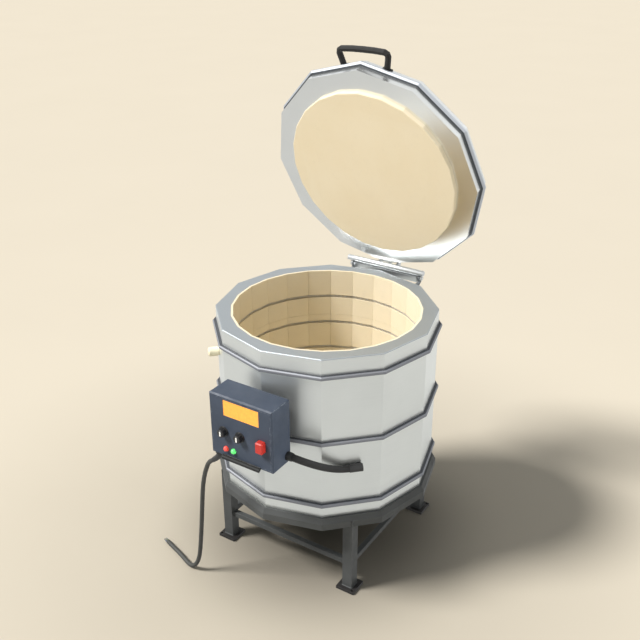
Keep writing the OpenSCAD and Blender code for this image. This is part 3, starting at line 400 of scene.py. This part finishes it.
DEVICE = moulded("device_plastic", srgb(48, 48, 52), 0.5)
TERMINAL = moulded("terminal_plastic", srgb(214, 208, 190), 0.5, lift=1.04)
CORES = core_sleeves("core_sleeve", srgb(72, 52, 40), srgb(44, 58, 88), srgb(78, 90, 50))
AMBER = lens("amber_window", srgb(250, 166, 64), glow=0.42, roughness=0.3)
RED_LENS = lens("red_lens", srgb(240, 82, 70), glow=0.25)
GREEN_LENS = lens("green_lens", srgb(100, 232, 122), glow=0.3)
FIBRE = fibre("fibre_blanket", srgb(234, 231, 223))
ELEMENT = oxidised_wire("element_wire", srgb(240, 239, 236))

DRESS = {
    STEEL: "jacket jacket_seam base_pan",
    CAP_STEEL: "rim_cap",
    LID_STEEL: "lid_pan lid_cover",
    BAND_STEEL: "lower_band middle_band upper_band",
    LID_BAND: "lid_band",
    HINGE_STEEL: "hinge_leaf",
    BRACKET: "hinge_bracket",
    FITTING: "band_clamps bracket_bolts leaf_bolts box_standoffs",
    PIN_STEEL: "hinge_pin",
    BRICK: "hearth_slab lower_bricks middle_bricks upper_bricks lid_brick",
    PORCELAIN: "terminal_block peephole_plug thermocouple",
    STAND_PAINT: "stand_ring stand_legs stand_crossbars",
    FOOT_PAINT: "foot_plates",
    BOX_PAINT: "box_housing front_panel box_bracket",
    HANDLE_PAINT: "lid_handle",
    BLACK: "thermocouple_head conduit_gland cord_relief button_switch",
    RAIL_BLACK: "vent_rail",
    CONDUIT: "conduit",
    KNOB: "left_knob right_knob",
    WHITE: "left_pointer right_pointer",
    AMBER: "display_window",
    RED_LENS: "red_lamp",
    GREEN_LENS: "green_lamp",
    RED_BUTTON: "power_button",
    BOARD: "controller_board",
    DEVICE: "relays dial_switches",
    IRON: "transformer",
    TERMINAL: "mains_terminals",
    FIBRE: "lid_blanket",
    ELEMENT: "element_1 element_2 element_3 element_4",
    RUBBER: "power_cord",
    CORES: "cord_cores",
}

for material, names in DRESS.items():
    for name in names.split():
        slots = nodes[name].data.materials
        slots.clear()
        slots.append(material)


# Camera and studio

AIM = Vector((0, 0, 0.7905))
EYE = Vector((1.326, -2.082, 1.984))
FOCAL_PX = 866.8
PICTURE_PX = 640
SENSOR_MM = 36
# Of the picture's width, for the photograph's framing
SHIFT = -0.0107
FARTHEST_SEEN = 200


def placed(name, data, at, way):
    """An object in the scene that looks or shines along a direction."""
    made = bpy.data.objects.new(name, data)
    made.location = at
    made.rotation_euler = way.to_track_quat("-Z", "Y").to_euler()
    scene.collection.objects.link(made)
    return made


def place_camera():
    data = bpy.data.cameras.new("camera")
    data.sensor_width = SENSOR_MM
    data.lens = FOCAL_PX / PICTURE_PX * SENSOR_MM
    data.shift_x = SHIFT
    data.clip_end = FARTHEST_SEEN
    scene.camera = placed("camera", data, EYE, AIM - EYE)


def sun(name, heading, elevation, spread, strength, color):
    """A far light that shines along a floor heading, with soft shadow edges."""
    data = bpy.data.lights.new(name, "SUN")
    data.energy = strength
    data.angle = math.radians(spread)
    data.color = color
    rise = math.radians(elevation)
    way = Vector(heading).normalized() * math.cos(rise) - Vector((0, 0, math.sin(rise)))
    placed(name, data, (0, 0, 0), way)


def lamp(name, at, aim, size, power, color, spread, mirrored):
    """A round lamp with a narrow beam; mirrored says whether shiny surfaces show it."""
    data = bpy.data.lights.new(name, "AREA")
    data.shape = "DISK"
    data.size = size
    data.energy = power
    data.color = color
    data.spread = math.radians(spread)
    made = placed(name, data, at, Vector(aim) - Vector(at))
    made.visible_glossy = mirrored


def studio_sky():
    """Dim even light from all round, a paler room for shiny surfaces, and beige paper for the camera."""
    world = bpy.data.worlds.new("studio")
    world.use_nodes = True
    tree = world.node_tree
    path = tree.nodes.new("ShaderNodeLightPath")

    def room(color, strength):
        made = tree.nodes.new("ShaderNodeBackground")
        made.inputs["Color"].default_value = color
        made.inputs["Strength"].default_value = strength
        return made.outputs["Background"]

    def choose(ray, otherwise, seen):
        join = tree.nodes.new("ShaderNodeMixShader")
        tree.links.new(path.outputs[ray], join.inputs["Fac"])
        tree.links.new(otherwise, join.inputs[1])
        tree.links.new(seen, join.inputs[2])
        return join.outputs["Shader"]

    even_light = room((0.96, 0.985, 1.0, 1), 0.36)
    pale_room = room((0.97, 0.985, 0.99, 1), 0.86)
    paper = room(srgb(242, 231, 211), 1.0)
    light = choose("Is Camera Ray", choose("Is Glossy Ray", even_light, pale_room), paper)
    tree.links.new(light, tree.nodes["World Output"].inputs["Surface"])
    scene.world = world


place_camera()
scene.view_settings.view_transform = "Standard"
sun("key", heading=(0.74, 0.67, 0), elevation=48, spread=15, strength=4.7, color=(1.0, 0.985, 0.96))
lamp(
    "rim", at=(2.4, 2.2, 2.6), aim=(0, 0.1, 1.2), size=1.0, power=2.8,
    color=(0.92, 0.96, 1.0), spread=90, mirrored=True,
)
lamp(
    "fill", at=(2.6, -2.1, 0.9), aim=(0, 0.1, 1.1), size=1.6, power=1.6,
    color=(1.0, 0.98, 0.95), spread=36, mirrored=False,
)
lamp(
    "side", at=(2.8, -0.45, 0.7), aim=(0.1, -0.42, 0.62), size=0.5, power=0.9,
    color=(1.0, 0.98, 0.95), spread=24, mirrored=False,
)
studio_sky()

FLOOR_HALF = 60.0
# Distances from the kiln's axis where the paper's painted shade begins and ends: a wide dusk, and a dark
# core under the kiln
SHADE_PAINT_REACH = (0.2, 1.7)
DARK_PAINT_REACH = (0, 0.65)
# How far behind the axis the glow that shiny surfaces mirror begins and ends to brighten, and its
# brightness there: a painted reflection
REFLECTION_PAINT_BACK = (0.7, 1.2)
REFLECTION_PAINT_GLOW = (0.685, 0.87)


def paper_floor():
    """Beige paper with painted shade that darkens it towards the kiln, darkest under it, and a pale grey
    glow that only shiny surfaces mirror, brighter behind the kiln as a painted reflection.
    """
    made = Surface("floor_paper", 0.95)
    paper = made.mix(made.noise(1.2, 3), srgb(204, 195, 178), srgb(207, 198, 181))
    far = made.measure("LENGTH", made.place)
    # Painted shade: the paper darkens towards the kiln, and darker still under it.
    shade_painted_paper = made.mix(made.spread(far, *SHADE_PAINT_REACH, smooth=True), srgb(179, 171, 156), paper)
    made.color(made.mix(made.spread(far, *DARK_PAINT_REACH, smooth=True), srgb(70, 67, 61), shade_painted_paper))
    made.set(Specular_IOR_Level=0.0)
    # Painted reflection: shiny surfaces see a pale glow here instead of the paper, brighter behind the
    # kiln.
    glow = made.add("ShaderNodeEmission", Color=(0.975, 0.98, 0.96, 1))
    behind = made.measure("DOT_PRODUCT", made.place, BACK)
    made.feed(glow.inputs["Strength"], made.spread(behind, *REFLECTION_PAINT_BACK, *REFLECTION_PAINT_GLOW))
    join = made.add("ShaderNodeMixShader")
    made.feed(join.inputs["Fac"], made.add("ShaderNodeLightPath").outputs["Is Glossy Ray"])
    made.feed(join.inputs[1], made.shader.outputs["BSDF"])
    made.feed(join.inputs[2], glow.outputs["Emission"])
    made.feed(made.tree.nodes["Material Output"].inputs["Surface"], join.outputs["Shader"])
    return made.material


floor_mesh = bpy.data.meshes.new("floor")
floor_mesh.from_pydata([(x * FLOOR_HALF, y * FLOOR_HALF, 0) for x, y in CORNERS], [], [(0, 1, 2, 3)])
floor_mesh.materials.append(paper_floor())
floor = bpy.data.objects.new("floor", floor_mesh)
scene.collection.objects.link(floor)


# Pieces


def finish_piece(bm, name, material, body):
    """Makes a smooth piece of what was modelled, which rides on a body."""
    mesh = bpy.data.meshes.new(name)
    bm.to_mesh(mesh)
    bm.free()
    mesh.materials.append(material)
    for face in mesh.polygons:
        face.use_smooth = True
    piece = bpy.data.objects.new(name, mesh)
    scene.collection.objects.link(piece)
    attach(piece, body)
    return piece


def frames(points):
    """Two directions across a line of points, at each point, carried along without twist."""
    ways = []
    for i in range(len(points)):
        before = points[max(i - 1, 0)]
        after = points[min(i + 1, len(points) - 1)]
        ways.append((after - before).normalized())
    side = ways[0].orthogonal().normalized()
    made = []
    for way in ways:
        side = (side - way * side.dot(way)).normalized()
        made.append((side, way.cross(side)))
    return made


def ring_of(bm, middle, side, up, radius, sides):
    """Adds a ring of points round a middle."""
    ring = []
    for k in range(sides):
        a = 2 * math.pi * k / sides
        ring.append(bm.verts.new(middle + radius * (math.cos(a) * side + math.sin(a) * up)))
    return ring


def skin(bm, low, high):
    """Adds the faces between two rings."""
    for k in range(len(low)):
        n = (k + 1) % len(low)
        bm.faces.new((low[k], low[n], high[n], high[k]))


def tube(bm, points, radii, sides):
    """Adds a capped round tube along points, with a radius for each."""
    points = [Vector(p) for p in points]
    rings = []
    for point, radius, (side, up) in zip(points, radii, frames(points)):
        rings.append(ring_of(bm, point, side, up, radius, sides))
    for low, high in zip(rings, rings[1:]):
        skin(bm, low, high)
    bm.faces.new(list(reversed(rings[0])))
    bm.faces.new(rings[-1])


# Heating elements: a wound coil in each groove, with two straight tails to the terminal block

ELEMENTS = 4
ELEMENT_LOW = 445 * MM
ELEMENT_PITCH = 99 * MM
ELEMENT_LINE_R = 300 * MM
BRICK_FACES = 24
COIL_R = 2.95 * MM
WIRE_R = 1.0 * MM
WIRE_SIDES = 4
TURN = 4.6 * MM
STEPS_PER_TURN = 7
TAIL_STEP = 6 * MM
# How far a tail runs along the groove before the coil begins
TAIL_LEAD = 12 * MM
TAIL_R = 2.112 * MM
TAIL_SIDES = 8
TAIL_BACK_Y = -392 * MM
TAIL_LINE_Y = -341.558 * MM
TERMINAL_Z = 594.5 * MM


def along(points, step):
    """Points at even steps along a line of points."""
    made = []
    left = 0.0
    for a, b in zip(points, points[1:]):
        span = (b - a).length
        while left < span:
            made.append(a.lerp(b, left / span))
            left += step
        left -= span
    return made


def groove_line(start):
    """The corners of the groove from a start to its mirror image, the long way round the chamber."""
    corners = [start]
    for k in range(1, BRICK_FACES):
        a = math.radians(-90 + k * 360 / BRICK_FACES)
        corners.append(Vector((ELEMENT_LINE_R * math.cos(a), ELEMENT_LINE_R * math.sin(a), start.z)))
    corners.append(Vector((-start.x, start.y, start.z)))
    return corners


def wound(line):
    """A helix round a line of even steps."""
    coil = []
    for i, (point, (side, up)) in enumerate(zip(line, frames(line))):
        a = 2 * math.pi * i / STEPS_PER_TURN
        coil.append(point + COIL_R * (math.cos(a) * side + math.sin(a) * up))
    return coil


def wound_element(index):
    lean = math.tan(math.pi / BRICK_FACES)
    x = TAIL_STEP * (index + 1)
    y = -ELEMENT_LINE_R + x * lean
    z = ELEMENT_LOW + ELEMENT_PITCH * index
    start = Vector((x + TAIL_LEAD, y + TAIL_LEAD * lean, z))
    coil = wound(along(groove_line(start), TURN / STEPS_PER_TURN))
    bm = bmesh.new()
    tube(bm, coil, [WIRE_R] * len(coil), WIRE_SIDES)
    for s in (1, -1):
        tail = [
            (s * x, TAIL_BACK_Y, TERMINAL_Z),
            (s * x, TAIL_LINE_Y, TERMINAL_Z),
            (s * x, TAIL_LINE_Y, z),
            (s * x, y, z),
            (s * start.x, start.y, z),
        ]
        tube(bm, tail, [TAIL_R] * len(tail), TAIL_SIDES)
    name = "element_%d" % (index + 1)
    piece = finish_piece(bm, "wound_" + name, ELEMENT, "kiln")
    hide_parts(name)


for index in range(ELEMENTS):
    wound_element(index)


# Rivets on the jacket's seam and the lid's cover, and weld beads on the stand

RIVET_R = 3.4 * MM
RIVET_H = 1.5 * MM
RIVET_SIDES = 14
RIVET_RINGS = 4
SEAM_RIVET_STEP = 38 * MM
# From the edge of the lid's cover, and from the middle of its side
COVER_RIVET_INSET = 9.5 * MM
COVER_RIVET_X = 55 * MM
BEAD_R = 2.6 * MM
BEAD_DIP = 0.8
BEAD_SIDES = 8
RIPPLE = 2.4 * MM


def rivet(bm, at, out):
    """Adds a low round head that stands on a face."""
    out = Vector(out).normalized()
    side = out.orthogonal().normalized()
    lower = None
    for i in range(RIVET_RINGS):
        rise = math.pi / 2 * i / RIVET_RINGS
        middle = Vector(at) + out * RIVET_H * math.sin(rise)
        ring = ring_of(bm, middle, side, out.cross(side), RIVET_R * math.cos(rise), RIVET_SIDES)
        if lower:
            skin(bm, lower, ring)
        lower = ring
    bm.faces.new(lower)


def seam_rivets():
    bm = bmesh.new()
    out = Vector((math.cos(SEAM_ANGLE), math.sin(SEAM_ANGLE), 0))
    for low, high in SEAM_LAPS:
        count = max(1, round((high - low) * MM / SEAM_RIVET_STEP))
        for i in range(count):
            z = (low + (high - low) * (i + 0.5) / count) * MM
            rivet(bm, out * (JACKET_R * FLAT + SEAM_T) + Vector((0, 0, z)), out)
    finish_piece(bm, "seam_rivets", FITTING, "kiln")


def cover_rivets():
    """Two rivets through the margin of the lid's cover, on each of its sides."""
    bm = bmesh.new()
    out = opened(UP) - opened((0, 0, 0))
    for k in range(SIDES):
        a = HALF_SIDE * (2 * k + 1)
        face = Vector((math.cos(a), math.sin(a), 0))
        side = Vector((-math.sin(a), math.cos(a), 0))
        for s in (-1, 1):
            spot = face * (LID_R * FLAT - COVER_RIVET_INSET) + side * s * COVER_RIVET_X
            rivet(bm, opened((spot.x, spot.y, LID_Z + LID_T)), out)
    finish_piece(bm, "cover_rivets", FITTING, "lid")


def weld_round(bm, ring):
    """Adds weld beads of overlapping ripples round a ring of corners."""
    for start, end in zip(ring, ring[1:] + ring[:1]):
        count = max(4, 2 * round((end - start).length / RIPPLE))
        points = [start.lerp(end, i / count) for i in range(count + 1)]
        radii = [BEAD_R * (1.0 if i % 2 else BEAD_DIP) for i in range(count + 1)]
        tube(bm, points, radii, BEAD_SIDES)


def stand_welds():
    """Beads round each leg on its foot plate, and round each end of the crossbars."""
    bm = bmesh.new()
    for sx in (-1, 1):
        for sy in (-1, 1):
            leg = Vector((sx * LEG_AT, sy * LEG_AT, FOOT_T))
            weld_round(bm, [leg + LEG_HALF * Vector((dx, dy, 0)) for dx, dy in CORNERS])
    for k in range(4):
        turn = Matrix.Rotation(k * math.pi / 2, 3, "Z")
        for s in (-1, 1):
            end = Vector((s * (LEG_AT - LEG_HALF), -LEG_AT, CROSS_Z))
            weld_round(bm, [turn @ (end + CROSS_HALF * Vector((0, dy, dz))) for dy, dz in CORNERS])
    finish_piece(bm, "stand_welds", STAND_PAINT, "kiln")


seam_rivets()
cover_rivets()
stand_welds()


# Edges broken on folded and sawn steel

EDGE_ANGLE = math.radians(50)
SAME_POINT = 0.01 * MM
EDGE_BREAK = {
    "hinge_leaf": 2.2 * MM,
    "hinge_bracket": 1.2 * MM,
    "stand_legs": 1.5 * MM,
    "stand_crossbars": 1.2 * MM,
    "foot_plates": 1.2 * MM,
    "vent_rail": 0.8 * MM,
}


def broken_edges(piece, width):
    weld = piece.modifiers.new("weld", "WELD")
    weld.merge_threshold = SAME_POINT
    edge = piece.modifiers.new("broken_edges", "BEVEL")
    edge.width = width
    edge.segments = 2
    edge.limit_method = "ANGLE"
    edge.angle_limit = EDGE_ANGLE


for name, width in EDGE_BREAK.items():
    broken_edges(nodes[name], width)


# Conduit: a smooth tube on the solid's own line, in millimetres

CONDUIT_R = 10.8 * MM
CONDUIT_SIDES = 24
CONDUIT_STEPS = 40
CONDUIT_START = (115.5, -387, 542.5)
CONDUIT_BEND = [
    (131.5, -387, 542.5),
    (191.5, -387, 542.5),
    (200.115, -300.525, 469.5),
    (242.542, -258.098, 469.5),
]
CONDUIT_END = (251.027, -249.613, 469.5)


def bezier(p, t):
    u = 1 - t
    return u**3 * p[0] + 3 * u * u * t * p[1] + 3 * u * t * t * p[2] + t**3 * p[3]


def conduit_tube():
    bend = [Vector(p) * MM for p in CONDUIT_BEND]
    line = [bezier(bend, i / CONDUIT_STEPS) for i in range(CONDUIT_STEPS + 1)]
    line = [Vector(CONDUIT_START) * MM] + line + [Vector(CONDUIT_END) * MM]
    bm = bmesh.new()
    tube(bm, line, [CONDUIT_R] * len(line), CONDUIT_SIDES)
    conduit = finish_piece(bm, "conduit_tube", CONDUIT, "kiln")
    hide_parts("conduit")


conduit_tube()


# Power cord, on the solid's own route in millimetres

CORD_D = 14 * MM
CORD_ROUTE = [
    (-123, -440, 472), (-141.7, -440, 455), (-154, -441, 428), (-163.5, -442, 396), (-170.5, -443, 360),
    (-176, -443, 320), (-180.5, -443, 280), (-185, -443, 240), (-189.5, -443, 200), (-194.5, -443, 160),
    (-199.5, -443, 122), (-204.5, -443.5, 88), (-210.5, -445, 58), (-220, -447, 33), (-234, -447, 16.5),
    (-252, -444.5, 8.6), (-275, -436.5, 7.2), (-303, -426, 7.2), (-331, -416, 7.2), (-360, -407, 7.2),
    (-392, -396, 7.2),
]


def round_curve(name, points, diameter, material):
    """A smooth round cord through points, with closed ends."""
    curve = bpy.data.curves.new(name, "CURVE")
    curve.dimensions = "3D"
    curve.bevel_depth = diameter / 2
    curve.bevel_resolution = 6
    curve.resolution_u = 8
    curve.use_fill_caps = True
    spline = curve.splines.new("BEZIER")
    spline.bezier_points.add(len(points) - 1)
    for knot, point in zip(spline.bezier_points, points):
        knot.co = point
        knot.handle_left_type = "AUTO"
        knot.handle_right_type = "AUTO"
    curve.materials.append(material)
    made = bpy.data.objects.new(name, curve)
    scene.collection.objects.link(made)
    return made


route = [Vector(p) * MM for p in CORD_ROUTE]
cord = round_curve("power_lead", route, CORD_D, RUBBER)
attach(cord, "kiln")
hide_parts("power_cord")
